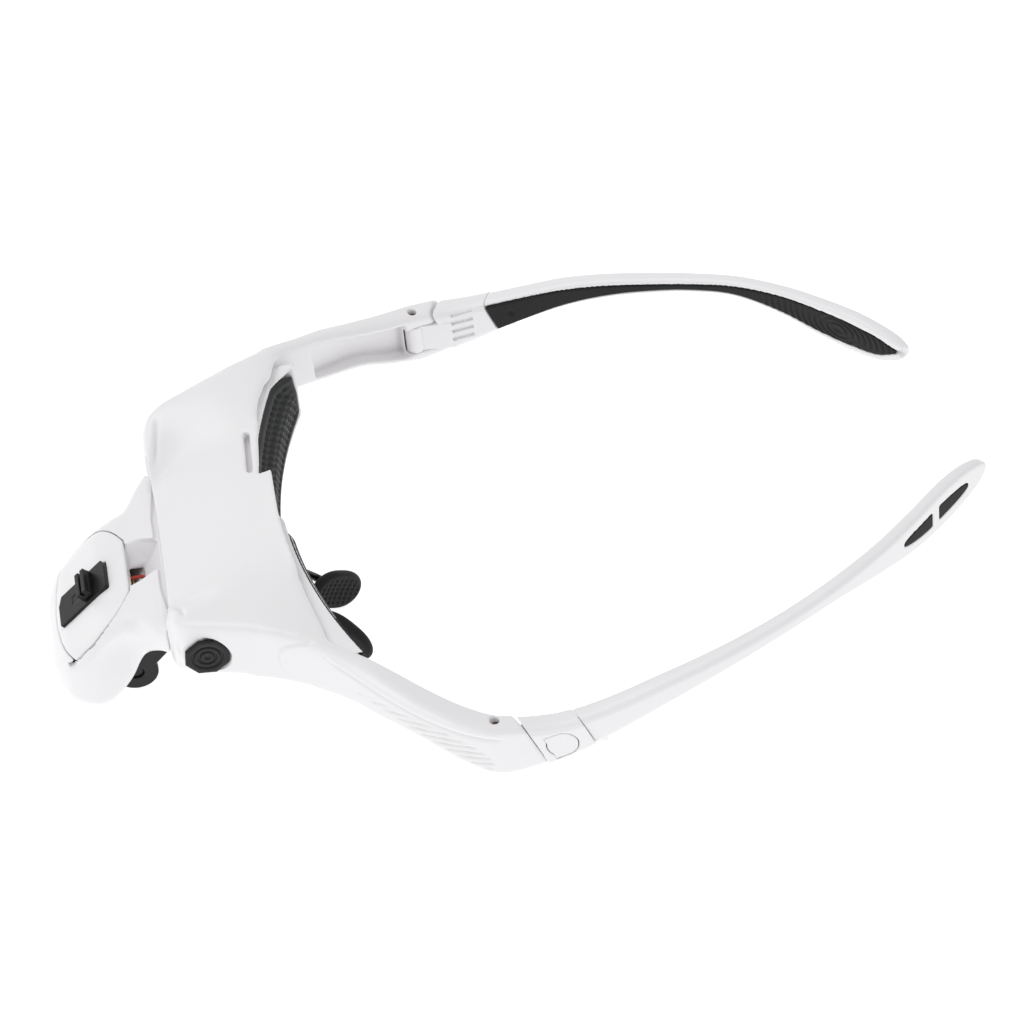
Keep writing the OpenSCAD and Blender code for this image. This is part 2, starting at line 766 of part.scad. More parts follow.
module temple_lining() {
  steps = 22;
  difference() {
    loft([for (i = [0 : steps])
      let (s = mix(1, 12, i / steps), k = curve(temple, s), h = lining_half(s))
      temple_ring(s, k[4] / 2 + 0.04, k[4] / 2 + lining_t, -h, h, 0.3, 1)]);
    ahead_of(temple_seam_y + 0.6);
  }
}

module left_side() {
  placed() swing_out(left_rest_swing) children();
}

module right_side() {
  placed() mirror([1, 0, 0]) swing_out(-right_rest_swing) children();
}

module left_hinge_link() color(white) left_side() hinge_link();
module right_hinge_link() color(white) right_side() hinge_link();
module left_hinge_pin() color(steel) placed() hinge_pin();
module right_hinge_pin() color(steel) placed() mirror([1, 0, 0]) hinge_pin();
module left_latch() color(white) left_side() latch();
module right_latch() color(white) right_side() latch();
module left_temple() color(white) left_side() temple_body();
module right_temple() color(white) right_side() temple_body();
module left_temple_lining() color(black) left_side() temple_lining();
module right_temple_lining() color(black) right_side() temple_lining();
module left_tip_inserts() color(black) left_side() inserts(0, 0);
module right_tip_inserts() color(black) right_side() inserts(0, 0);

visor_shell();
brow_frame();
forehead_pad();
brow_clips();
lamp_housing();
lamp_base();
battery_cover();
coin_cells();
battery_clip();
circuit_board();
switch_body();
switch_plate();
switch_knob();
lead_wires();
lamp_cradle();
lamp_barrel();
lamp_leds();
lamp_window();
lens_carrier();
lens_plate();
pivot_caps();
pivot_washers();
nose_bridge();
nose_stems();
nose_pad_left();
nose_pad_right();
left_hinge_link();
right_hinge_link();
left_hinge_pin();
right_hinge_pin();
left_latch();
right_latch();
left_temple();
right_temple();
left_temple_lining();
right_temple_lining();
left_tip_inserts();
right_tip_inserts();
housing_screws();
brow_screws();
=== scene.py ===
import json
import math
import bpy
import bmesh
import numpy as np
from mathutils import Matrix, Vector


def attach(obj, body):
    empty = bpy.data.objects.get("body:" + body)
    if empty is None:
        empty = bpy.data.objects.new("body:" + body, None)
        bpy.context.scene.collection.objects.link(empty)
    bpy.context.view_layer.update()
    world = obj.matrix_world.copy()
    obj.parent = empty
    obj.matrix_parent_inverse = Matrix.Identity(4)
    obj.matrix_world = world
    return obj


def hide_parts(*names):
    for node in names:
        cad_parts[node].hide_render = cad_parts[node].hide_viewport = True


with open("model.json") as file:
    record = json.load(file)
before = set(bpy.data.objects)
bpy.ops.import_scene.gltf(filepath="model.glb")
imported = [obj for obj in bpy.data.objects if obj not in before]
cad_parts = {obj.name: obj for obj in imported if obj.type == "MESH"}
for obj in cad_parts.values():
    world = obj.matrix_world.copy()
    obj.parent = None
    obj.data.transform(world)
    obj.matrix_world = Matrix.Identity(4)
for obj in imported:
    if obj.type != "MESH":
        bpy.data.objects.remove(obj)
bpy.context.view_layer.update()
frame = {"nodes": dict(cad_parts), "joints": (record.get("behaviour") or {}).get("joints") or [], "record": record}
scene = bpy.context.scene

# ---- working axes ------------------------------------------------------------------------
# Shapes are worked out in millimetres, with the origin midway between the temple pins at the
# top of the arms: -Y is the front, +X the wearer's left. SEAT takes them to the row frame.

MM = 0.001
pin_joint = next(j for j in frame["joints"] if j["name"] == "left_temple_fold")
pin_axis = Vector(pin_joint["axis"])
PIN_X = pin_joint["pos_m"][0] / MM
PIN_DEPTH = 8                       # the joint's point lies this far below the top of the arms
REST_SWING = math.radians(5.3)      # the left temple rests this far out, the right one in
TILT = math.atan2(-pin_axis.y, pin_axis.z)
origin = Vector(pin_joint["pos_m"]) + pin_axis * PIN_DEPTH * MM
origin.x = 0
SEAT = Matrix.Translation(origin) @ Matrix.Rotation(TILT, 4, "X") @ Matrix.Scale(MM, 4)
UNSEAT = SEAT.inverted()
MIRROR = Matrix.Scale(-1, 4, (1, 0, 0))

WALL = 2.2
CROWN_Z = 16.4
SEAM_SLOPE = 0.38                   # how far a hinge seam runs back for each millimetre down
SEAM_SKEW = math.radians(22)        # turn of a seam in plan, outer end back
ARM_END_Y = 3.8
SEAM_LIP = 0.45                     # how far the arm's end reaches over its seam
TEMPLE_SEAM_Y = 19.3
PIVOT = Vector((0, -67.6, 5.4))     # the lens pivot
BOSS_X = (36.2, 43.2)
CAP_FLATS = 11.1
CAP_CORNER = CAP_FLATS / 2 / math.cos(math.pi / 8)
CAP_TURN = Matrix.Rotation(math.radians(-6), 4, "Z")
LAMP = Vector((0, -87, -24.2))      # the lamp barrel
NOSE_SPLIT_Z = -27.6
NOSE_LAP = 0.4                      # how far the housing and the base each pass their split
COVER_PLAY = 0.2                    # room round the battery cover
COVER = Vector((0, -97, -9.2))      # middle of the battery bay
COVER_SLOPE = math.radians(43)
COVER_SIDE = [(9.1, -13.6), (13.6, -11), (16.7, -7.2), (18.1, -0.8), (18, 3), (17.7, 7.6)]


def smooth(t):
    c = np.clip(t, 0, 1)
    return c * c * (3 - 2 * c)


def mix(a, b, t):
    return a + (b - a) * t


def curve(knots, s):
    """Smooth curve through the knots, read at s = 0 for the first, 1 for the next."""
    k = np.array(knots, float)
    s = np.atleast_1d(np.asarray(s, float))
    i = np.clip(np.floor(s).astype(int), 0, len(k) - 2)
    t = (s - i)[:, None]
    at = lambda j: k[np.clip(j, 0, len(k) - 1)]
    a, b = at(i), at(i + 1)
    ta, tb = (b - at(i - 1)) / 2, (at(i + 2) - a) / 2
    return (a * (2 * t**3 - 3 * t**2 + 1) + ta * (t**3 - 2 * t**2 + t)
            + b * (3 * t**2 - 2 * t**3) + tb * (t**3 - t**2))


def side_normal(knots, s):
    """Unit normal of a plan path, to the left of its direction of travel."""
    d = curve(knots, s + 0.01) - curve(knots, s - 0.01)
    n = np.hypot(d[:, 0], d[:, 1])
    return np.stack([-d[:, 1] / n, d[:, 0] / n], 1)


# ---- knots ---------------------------------------------------------------------------------

# Hood side and arm: x, y of the outer face, top, low edge, thickness
BAND = [
    (26, -76.2, 2.6, -5, WALL), (32, -76.6, 9, -4.8, WALL), (37.6, -75.2, 13, -4.2, WALL),
    (41.2, -71, 14.6, -3.4, WALL), (44, -64.5, 15.6, -2.6, WALL), (48, -55, 16.6, -1.2, WALL),
    (52.8, -45.5, CROWN_Z, -0.8, WALL + 0.6), (58, -36.5, 14.4, -2, WALL + 1.8),
    (64.5, -27.5, 10.4, -5.2, 5), (PIN_X - 5.2, -18.5, 5.6, -8.4, 6),
    (PIN_X, -9.5, 2, -13.4, 6.3), (PIN_X + 3.6, -1, 0.3, -16.4, 6.3),
    (PIN_X + 4.8, 7.5, 0, -15.2, 6.3), (PIN_X + 4.9, 16, 0.6, -12.2, 6.2),
    (PIN_X + 4.6, 26, 2.4, -7.8, 6)]

# Nose: y, half width, top, low edge, corner radius
NOSE = [
    (-77.1, 31, 1, -6.2, 3), (-80, 27.6, 0.2, -8.6, 3.6), (-84, 22.6, -1.4, -15.5, 5),
    (-88, 20.4, -2.6, -24.5, 4), (-92, 20.2, -5, -30, 4.2), (-96, 20.2, -8.6, -33.2, 4.5),
    (-100, 19.6, -12.4, -33.6, 4.8), (-104, 17.6, -16.2, -32.4, 4.6),
    (-106.6, 13.8, -20, -30, 4), (-107.6, 10.6, -22.4, -28, 2.5)]

# Temple: x, y, z of its middle, half height, thickness
TEMPLE = [
    (PIN_X + 2.2, 10, -7.1, 7, 5.8), (PIN_X + 1.6, 20, -4.4, 5.7, 5.8),
    (PIN_X + 0.5, 30, -0.8, 4.7, 5.6), (PIN_X - 1.4, 41, 3.4, 3.9, 5.2),
    (PIN_X - 4.2, 52, 6.8, 3.1, 4.8), (PIN_X - 7.9, 63, 9.7, 2.6, 4.4),
    (PIN_X - 12.8, 75, 12.8, 2.3, 4.2), (PIN_X - 19, 87, 15.5, 2.6, 4),
    (PIN_X - 27, 98.6, 16.4, 4, 3.8), (PIN_X - 35.2, 108, 16.6, 5.6, 3.7),
    (PIN_X - 42.6, 115.6, 17.4, 6.2, 3.6), (PIN_X - 48.4, 121.6, 18, 5.4, 3.5),
    (PIN_X - 52.2, 126, 18.6, 3.5, 3), (PIN_X - 53.8, 128.2, 18.9, 1.3, 2)]

LINING_HALF = [(h,) for h in (5.4, 4.7, 3.7, 2.6, 1.7, 1.1, 0.9, 1.3, 2.6, 3.7, 3.8, 3, 0.7)]
INSERT = (8.55, 11.2)               # where the tip inserts start and end along the temple
INSERT_MIDDLE = 9.65


# ---- mesh making ---------------------------------------------------------------------------

def new_object(name, points, faces):
    mesh = bpy.data.meshes.new(name)
    mesh.from_pydata(np.asarray(points, float).tolist(), [], faces)
    obj = bpy.data.objects.new(name, mesh)
    scene.collection.objects.link(obj)
    tidy_mesh(obj)
    return obj


def tidy_mesh(obj):
    """Merges doubled points and turns every face outward."""
    work = bmesh.new()
    work.from_mesh(obj.data)
    bmesh.ops.remove_doubles(work, verts=work.verts, dist=1e-5)
    bmesh.ops.recalc_face_normals(work, faces=work.faces)
    work.to_mesh(obj.data)
    work.free()


def loft(rings, name="work"):
    """Closed solid through an array of equal rings: (rings, points, 3)."""
    m, n = rings.shape[:2]
    at = np.arange(m * n).reshape(m, n)
    a, b = at[:-1], at[1:]
    quads = np.stack([a, b, np.roll(b, -1, 1), np.roll(a, -1, 1)], -1).reshape(-1, 4)
    return new_object(name, rings.reshape(-1, 3),
                      quads.tolist() + [at[0].tolist(), at[-1][::-1].tolist()])


def ring_stack(outlines, heights):
    """Rings in the XY plane at each height, from 2-D outlines."""
    return np.stack([np.column_stack([o, np.full(len(o), z)]) for o, z in zip(outlines, heights)])


def prism(outline, low, high, matrix=None):
    obj = loft(ring_stack([np.array(outline, float)] * 2, [low, high]))
    if matrix is not None:
        transform(obj, matrix)
    return obj


def block(low, high, matrix=None):
    (x0, y0, z0), (x1, y1, z1) = low, high
    return prism([(x0, y0), (x1, y0), (x1, y1), (x0, y1)], z0, z1, matrix)


def circle(radius, sides=64, x=0, y=0):
    a = np.arange(sides) * 2 * math.pi / sides
    return np.stack([x + radius * np.cos(a), y + radius * np.sin(a)], 1)


def rod(radius, start, end, sides=64):
    start, end = Vector(start), Vector(end)
    turn = (end - start).to_track_quat("Z", "Y").to_matrix().to_4x4()
    return prism(circle(radius, sides), 0, (end - start).length, Matrix.Translation(start) @ turn)


def transform(obj, matrix):
    obj.data.transform(matrix)
    if matrix.determinant() < 0:
        obj.data.flip_normals()
    return obj


def copy_of(obj, matrix=None):
    twin = bpy.data.objects.new(obj.name, obj.data.copy())
    scene.collection.objects.link(twin)
    if matrix is not None:
        transform(twin, matrix)
    return twin


def apply(obj):
    """Makes the object's modifiers part of its mesh."""
    shown = obj.evaluated_get(bpy.context.evaluated_depsgraph_get())
    mesh = bpy.data.meshes.new_from_object(shown)
    obj.modifiers.clear()
    obj.data = mesh
    return obj


def combine(obj, operation, *others):
    for other in others:
        step = obj.modifiers.new("combine", "BOOLEAN")
        step.operation = operation
        step.solver = "MANIFOLD"
        step.object = other
    apply(obj)
    for other in others:
        bpy.data.objects.remove(other)
    return obj


def cut(obj, *others):
    return combine(obj, "DIFFERENCE", *others)


def join(obj, *others):
    return combine(obj, "UNION", *others)


def mould(obj, voxel, rounds=4):
    """One skin round the whole piece, with the small soft radius of a moulded edge."""
    skin = obj.modifiers.new("skin", "REMESH")
    skin.mode = "VOXEL"
    skin.voxel_size = voxel
    soften = obj.modifiers.new("soften", "SMOOTH")
    soften.factor = 0.5
    soften.iterations = rounds
    return apply(obj)


def relax(obj, mask, rounds):
    """Evens out the skin where mask(points) is 1, by moving each point towards its neighbours."""
    mesh = obj.data
    count = len(mesh.vertices)
    points = np.empty(count * 3, np.float32)
    mesh.vertices.foreach_get("co", points)
    points = points.reshape(-1, 3).astype(float)
    edges = np.empty(len(mesh.edges) * 2, np.int32)
    mesh.edges.foreach_get("vertices", edges)
    a, b = edges[::2], edges[1::2]
    links = np.bincount(a, minlength=count) + np.bincount(b, minlength=count)
    share = 0.6 * mask(points)[:, None]
    for _ in range(rounds):
        total = np.stack([np.bincount(a, points[b, i], count) + np.bincount(b, points[a, i], count)
                          for i in range(3)], 1)
        points += share * (total / links[:, None] - points)
    mesh.vertices.foreach_set("co", points.astype(np.float32).ravel())
    mesh.update()
    return obj


def sculpt(obj, height):
    """Moves each point along its normal by height(points, normals), in millimetres."""
    mesh = obj.data
    points = np.empty(len(mesh.vertices) * 3, np.float32)
    normals = np.empty(len(mesh.vertices) * 3, np.float32)
    mesh.vertices.foreach_get("co", points)
    mesh.vertices.foreach_get("normal", normals)
    points, normals = points.reshape(-1, 3), normals.reshape(-1, 3)
    points = points + normals * height(points, normals)[:, None]
    mesh.vertices.foreach_set("co", points.astype(np.float32).ravel())
    mesh.update()
    return obj


def from_cad(node):
    """A copy of a CAD node's mesh, in working millimetres."""
    obj = bpy.data.objects.new("work", frame["nodes"][node].data.copy())
    scene.collection.objects.link(obj)
    obj.data.transform(UNSEAT)
    tidy_mesh(obj)
    return obj


def body_of(node):
    return next(b for b, members in frame["record"]["behaviour"]["bodies"].items() if node in members)


def place(obj, material, slot, *nodes, name=None):
    """Seats a finished piece in the row frame, in place of the CAD nodes it stands for."""
    obj.name = name or nodes[0] + "_look"
    obj.data.name = obj.name
    obj.data.transform(SEAT)
    obj.data.shade_smooth()
    obj.data.materials.clear()
    obj.data.materials.append(material)
    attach(obj, body_of(nodes[0]))
    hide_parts(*nodes)
    return obj


def behind_seam(y):
    """A block that holds everything behind a slanted seam, whose inner top edge is at y."""
    reach = 200
    turn = (Matrix.Translation((PIN_X - 1.5, y, 0)) @ Matrix.Rotation(math.atan(SEAM_SLOPE), 4, "X")
            @ Matrix.Rotation(SEAM_SKEW, 4, "Z"))
    return block((-reach, 0, -reach), (reach, reach, reach), turn)


def swing(side):
    """Takes the left side's unswung pieces to where that side's temple rests."""
    pin = Matrix.Translation((PIN_X, 0, 0))
    angle = -REST_SWING if side == "left" else REST_SWING
    turned = pin @ Matrix.Rotation(angle, 4, "Z") @ pin.inverted()
    return turned if side == "left" else MIRROR @ turned


# ---- materials -----------------------------------------------------------------------------

def finish_material(name, colour, roughness, grain=900, bump=0.05, shift=0.02, corner_shade_and_dust=None,
                    coat=0.0, metal=0.0, clear=0.0, shine=0.5):
    """Moulded or metal finish: uneven colour and gloss, fine grain, and a corner colour in its hollows: painted
    shade where it is darker than the finish, dust where it is lighter.
    """
    material = bpy.data.materials.new(name)
    material.use_nodes = True
    nodes, links = material.node_tree.nodes, material.node_tree.links
    shader = nodes["Principled BSDF"]
    shader.inputs["Metallic"].default_value = metal
    shader.inputs["Specular IOR Level"].default_value = shine
    shader.inputs["Coat Weight"].default_value = coat
    shader.inputs["Coat Roughness"].default_value = 0.12
    shader.inputs["Transmission Weight"].default_value = clear

    place_in = nodes.new("ShaderNodeTexCoord").outputs["Object"]
    broad = nodes.new("ShaderNodeTexNoise")
    broad.inputs["Scale"].default_value = 28
    broad.inputs["Detail"].default_value = 4
    links.new(place_in, broad.inputs["Vector"])
    fine = nodes.new("ShaderNodeTexNoise")
    fine.inputs["Scale"].default_value = grain
    fine.inputs["Detail"].default_value = 3
    links.new(place_in, fine.inputs["Vector"])

    tone = nodes.new("ShaderNodeValToRGB")
    tone.color_ramp.elements[0].position = 0.3
    tone.color_ramp.elements[1].position = 0.7
    tone.color_ramp.elements[0].color = (*[max(0, c - shift) for c in colour], 1)
    tone.color_ramp.elements[1].color = (*[min(1, c + shift / 2) for c in colour], 1)
    links.new(broad.outputs["Fac"], tone.inputs["Fac"])

    # Concave corners (low pointiness) take the corner colour: painted shade where it is darker than the finish
    # (white, metal, board, wire, foam), light dust on the black plastic and rubber where it is lighter.
    corner = nodes.new("ShaderNodeNewGeometry").outputs["Pointiness"]
    shade_and_dust_mask = nodes.new("ShaderNodeMapRange")
    shade_and_dust_mask.inputs["From Min"].default_value = 0.5
    shade_and_dust_mask.inputs["From Max"].default_value = 0.44
    links.new(corner, shade_and_dust_mask.inputs["Value"])
    blend_in = nodes.new("ShaderNodeMix")
    blend_in.data_type = "RGBA"
    links.new(shade_and_dust_mask.outputs["Result"], blend_in.inputs["Factor"])
    links.new(tone.outputs["Color"], blend_in.inputs["A"])
    blend_in.inputs["B"].default_value = (*(corner_shade_and_dust or colour), 1)
    links.new(blend_in.outputs["Result"], shader.inputs["Base Color"])

    gloss = nodes.new("ShaderNodeMapRange")
    gloss.inputs["To Min"].default_value = roughness - 0.05
    gloss.inputs["To Max"].default_value = roughness + 0.07
    links.new(broad.outputs["Fac"], gloss.inputs["Value"])
    links.new(gloss.outputs["Result"], shader.inputs["Roughness"])

    relief = nodes.new("ShaderNodeBump")
    relief.inputs["Strength"].default_value = bump
    relief.inputs["Distance"].default_value = 0.0002
    links.new(fine.outputs["Fac"], relief.inputs["Height"])
    links.new(relief.outputs["Normal"], shader.inputs["Normal"])
    return material


# Each corner colour below is painted shade in the hollows where it is darker than the base colour, and dust where
# it is lighter.
white = finish_material("white_abs", (0.845, 0.835, 0.85), 0.36, bump=0.04, shift=0.012,
                        corner_shade_and_dust=(0.66, 0.645, 0.65), coat=0.12)
black_abs = finish_material("black_abs", (0.008, 0.008, 0.009), 0.4, grain=700, bump=0.12,
                            shift=0.003, corner_shade_and_dust=(0.018, 0.018, 0.019), shine=0.3)
rubber = finish_material("black_rubber", (0.01, 0.01, 0.011), 0.6, grain=1300, bump=0.3,
                         shift=0.004, corner_shade_and_dust=(0.02, 0.02, 0.021), shine=0.25)
foam = finish_material("pad_rubber", (0.014, 0.015, 0.016), 0.5, grain=1600, bump=0.35,
                       shift=0.005, corner_shade_and_dust=(0.004, 0.004, 0.005), shine=0.4)
steel = finish_material("bright_steel", (0.6, 0.6, 0.62), 0.3, grain=2200, bump=0.1, shift=0.06,
                        corner_shade_and_dust=(0.3, 0.29, 0.28), metal=1)
pin_steel = finish_material("pin_steel", (0.16, 0.11, 0.085), 0.45, grain=2200, bump=0.1, shift=0.03,
                            corner_shade_and_dust=(0.06, 0.04, 0.03), metal=0.6)
brass = finish_material("contact_brass", (0.75, 0.55, 0.25), 0.34, grain=2000, bump=0.1,
                        shift=0.08, corner_shade_and_dust=(0.35, 0.22, 0.1), metal=1)
board = finish_material("board_green", (0.03, 0.17, 0.08), 0.4, grain=600, bump=0.2, shift=0.02,
                        corner_shade_and_dust=(0.02, 0.08, 0.04))
wire_red = finish_material("wire_red", (0.5, 0.06, 0.02), 0.4, grain=1500, bump=0.1, shift=0.06,
                           corner_shade_and_dust=(0.25, 0.03, 0.015))
led = finish_material("led_resin", (0.9, 0.86, 0.62), 0.15, grain=500, bump=0.02, shift=0.04,
                      clear=0.4)
clear = finish_material("clear_acrylic", (0.93, 0.96, 0.97), 0.06, grain=400, bump=0.01,
                        shift=0.01, clear=0.95)


# ---- hood and arms -------------------------------------------------------------------------

def rounded_outline(w, top, low, r, steps=6):
    """Outline of a rounded rectangle from (0, low) to (w, top), for arrays of sections."""
    points = []
    for cx, cy, start in ((r, top - r, 180), (w - r, top - r, 90), (w - r, low + r, 0), (r, low + r, -90)):
        for q in range(steps + 1):
            a = math.radians(start - 90 * q / steps)
            points.append(np.stack([cx + r * math.cos(a), cy + r * math.sin(a)], -1))
    return np.stack(points, 1)


def band_rings(s, outer, inner, top, low, radius=None):
    """Sections across the hood's side band, inset from its faces by the given amounts."""
    k = curve(BAND, s)
    n = side_normal(BAND, s)
    r = np.minimum(1.8, k[:, 4] / 2.4) if radius is None else np.full(len(s), radius)
    p = rounded_outline(k[:, 4] - outer - inner, k[:, 2] - top, k[:, 3] + low, r)
    across = outer + p[:, :, 0]
    return np.stack([k[:, :1] + across * n[:, :1], k[:, 1:2] + across * n[:, 1:2], p[:, :, 1]], -1)


def rear_shift(u, v):
    """The rear edge stands back a little on the left of the centre."""
    left = smooth((u - 0.1) / 0.5) * (1 - smooth((u - 0.85) / 0.15))
    return 1.6 * left * smooth((v - 0.86) / 0.14)


def rear_step():
    """Takes the rear edge forward on the right of the centre tongue."""
    edge = [(-7.5, -47.8), (-14, -47), (-22, -46.3), (-30, -45.4),
            (-36, -44.2), (-42, -41.9), (-46, -38.7)]
    return prism(edge + [(-46, -30), (-7.5, -30)], 12.2, 26)


def hood_point(u, v):
    """Hood surface: u runs across from -1 to 1, v from the front edge to the rear edge."""
    e = curve(BAND, mix(1, 7, v))
    a = np.abs(u)
    centre_y = mix(-75.4, -44.4, v)
    centre_z = mix(2.7, 20.1, v) - 3.7 * smooth((v - 0.55) / 0.6)
    rise = smooth((a - mix(0.66, 0.3, v)) / mix(0.3, 0.7, v))
    return np.stack([u * (e[:, 0] - 1.1), mix(centre_y, e[:, 1] + 0.4, a**3) + rear_shift(u, v),
                     mix(centre_z, e[:, 2] - 0.2, rise)], -1)


def hood_sheet():
    across, along = 220, 70
    u = np.linspace(-1, 1, across)
    rows = np.stack([hood_point(u, np.full(across, v)) for v in np.linspace(0, 1, along)])
    under = rows[:, ::-1] - np.array([0, 0, WALL])
    return loft(np.concatenate([rows, under], 1))


def left_arm():
    arm = loft(band_rings(np.linspace(0, 13, 160), 0, 0, 0, 0))
    cut(arm, behind_seam(ARM_END_Y + SEAM_LIP),
        loft(band_rings(np.linspace(7.6, 10.55, 40), 1.7, -3, 2.2, 2.2, 0.5)))
    pocket_r, pocket_low, pocket_top = 2.95, -13, -3.8
    inside = PIN_X - 9
    cut(arm, rod(pocket_r, (PIN_X, 0, pocket_low), (PIN_X, 0, pocket_top)),
        block((inside, -pocket_r, pocket_low), (PIN_X, pocket_r, pocket_top)))
    cut(arm, block((inside, 0, pocket_low), (PIN_X + pocket_r, 12, pocket_top)))
    cut(arm, rod(1.25, (PIN_X, 0, -20), (PIN_X, 0, 2)))
    join(arm, rod(CAP_FLATS / 2 + 1.2, (BOSS_X[0], *PIVOT.yz), (BOSS_X[1], *PIVOT.yz)))
    return arm


def hood_relief(p, n):
    """Raised shoulder, bead along the arm, and grip ridges on the elbow."""
    side, y, z = np.abs(p[:, 0]), p[:, 1], p[:, 2]
    outward = smooth((n[:, 0] * np.sign(p[:, 0]) - 0.15) / 0.3)
    shoulder_y = -50 + 7.4 * (np.abs(z - 7.4) / 7.4) ** 3
    fade = 1 - smooth((y + 42) / 14)
    shoulder = 0.42 * smooth((y - shoulder_y) / 1.1) * fade * (y > -60)
    bead_z = -2.6 + 0.0098 * y * y
    along = smooth((y + 40) / 5) * (1 - smooth((y + 1) / 3))
    bead = (0.3 * np.exp(-(((z - bead_z - 0.8) / 0.9) ** 2))
            - 0.28 * np.exp(-(((z - bead_z + 0.7) / 0.6) ** 2)))
    grip = (smooth((y + 19.6 + 1.74 * (z + 5.5)) / 1.2)
            * smooth((-1.3 - 0.145 * (z + 12.2) ** 2 - y) / 0.8)
            * smooth((bead_z - 0.8 - z) / 0.8))
    ridge = 0.42 * np.abs(np.sin(math.pi * (z - 0.08 * (y + 10)) / 1.8)) - 0.3
    corner = np.hypot((y + 73.2 - 0.28 * (z - 9.5)) / 0.7, np.maximum(0, np.abs(z - 9.5) - 4.5))
    notch = -0.6 * np.exp(-corner**2) * smooth((side - 25) / 4) * (1 - smooth((side - 34) / 4))
    return outward * (side > 44) * (shoulder + along * bead + grip * ridge) + notch


def hood_folds(p):
    """Where the hood turns over from its top to its sides, and round the pivot bosses."""
    side, y, z = np.abs(p[:, 0]), p[:, 1], p[:, 2]
    fold = smooth((side - 26) / 6) * (1 - smooth((y + 34) / 8)) * smooth((z - 3) / 4)
    boss = smooth((side - 36) / 3) * (1 - smooth((np.hypot(y - PIVOT.y, z - PIVOT.z) - 10) / 3))
    front = smooth((y + 77.4) / 1.2)
    return np.maximum(fold, boss) * front


def build_hood():
    arm = left_arm()
    right_arm = copy_of(arm, MIRROR)
    hood = join(hood_sheet(), arm, right_arm)
    cut(hood, rear_step(), prism([(-24, -49.9), (-9.8, -50.6), (-8.4, -49.1), (-23.6, -48.4)], 8, 20))
    mould(hood, 0.45, 4)
    relax(hood, hood_folds, 45)
    sculpt(hood, hood_relief)
    for turn in (Matrix.Identity(4), MIRROR):
        seat = Matrix.Translation((BOSS_X[1] - 0.2, *PIVOT.yz)) @ Matrix.Rotation(math.pi / 2, 4, "Y")
        recess = prism(circle(CAP_CORNER + 0.12), 0, 8, turn @ seat)
        bore = rod(2.05, (BOSS_X[0] - 4, *PIVOT.yz), (BOSS_X[1] + 1, *PIVOT.yz))
        cut(hood, recess)
        cut(hood, transform(bore, turn))
    place(hood, white, "white_shell", "visor_shell")


# ---- lamp nose -----------------------------------------------------------------------------

def nose_solid(start, end, inset=0.0, steps=120):
    k = curve(NOSE, np.linspace(start, end, steps))
    w = k[:, 1] - inset
    p = rounded_outline(2 * w, k[:, 2] - inset, k[:, 3] + inset, np.maximum(0.6, k[:, 4] - inset), 8)
    x = p[:, :, 0] - w[:, None]
    return loft(np.stack([x, np.broadcast_to(k[:, :1], x.shape), p[:, :, 1]], -1))


def on_nose():
    """Axes on the nose top: x across, y down the slope to the front, z out of it."""
    return (Matrix.Translation(COVER) @ Matrix.Rotation(COVER_SLOPE, 4, "X")
            @ Matrix.Rotation(math.pi, 4, "Z"))


def cover_outline(grow):
    """Battery cover on the nose slope: widest at its front corners, with a bowed front edge."""
    right = curve(COVER_SIDE, np.linspace(0, len(COVER_SIDE) - 1, 30))
    right[:, 0] += grow
    right[0, 1] -= grow
    corner_x = COVER_SIDE[-1][0]
    x = np.linspace(corner_x + grow, -corner_x - grow, 40)[1:-1]
    front = 12.4 - 4.8 * (x / corner_x) ** 2 + grow
    left = right[::-1] * (-1, 1)
    return np.concatenate([right, np.stack([x, front], 1), left])


def lamp_room():
    return rod(6.1, (-17.6, *LAMP.yz), (17.6, *LAMP.yz))


def nose_heel():
    """Short step behind the nose that closes it against the hood's front edge."""
    k = curve(NOSE, [0, 0])
    w = k[:, 1] - 0.7
    p = rounded_outline(2 * w, k[:, 2] - 0.7, k[:, 3] + 0.5, k[:, 4] - 0.8, 8)
    y = np.broadcast_to(np.array([[-77.8], [-75]]), p.shape[:2])
    return loft(np.stack([p[:, :, 0] - w[:, None], y, p[:, :, 1]], -1))


def lead_pocket():
    """Block behind the battery bay that the pocket for the leads is sunk into."""
    pocket = prism([(-14, -87.8), (14, -87.8), (9.4, -75.2), (-9.4, -75.2)], -7.4, -2.4)
    return cut(pocket, prism(cover_outline(COVER_PLAY), -3.6, 14, on_nose()))


def pocket_room():
    """Funnel behind the cover's rear edge, down to the hole that the leads come through."""
    mouth = np.array([(-8.9, -85.6), (8.9, -85.6), (5.2, -76.3), (-5.2, -76.3)])
    throat = np.array([(-3.6, -84.6), (3.6, -84.6), (3, -80.6), (-3, -80.6)])
    return loft(ring_stack([throat, mix(throat, mouth, 0.35), mouth, mouth], [-7, -5, -0.6, 4]))


def nose_relief(p, n):
    """Soft hollow in the side walls."""
    side = smooth((np.abs(n[:, 0]) - 0.5) / 0.3)
    hollow = -0.9 * np.exp(-(((p[:, 1] + 90) / 7) ** 2) - ((p[:, 2] + 13) / 6) ** 2)
    return side * hollow * (np.abs(p[:, 0]) > 17)


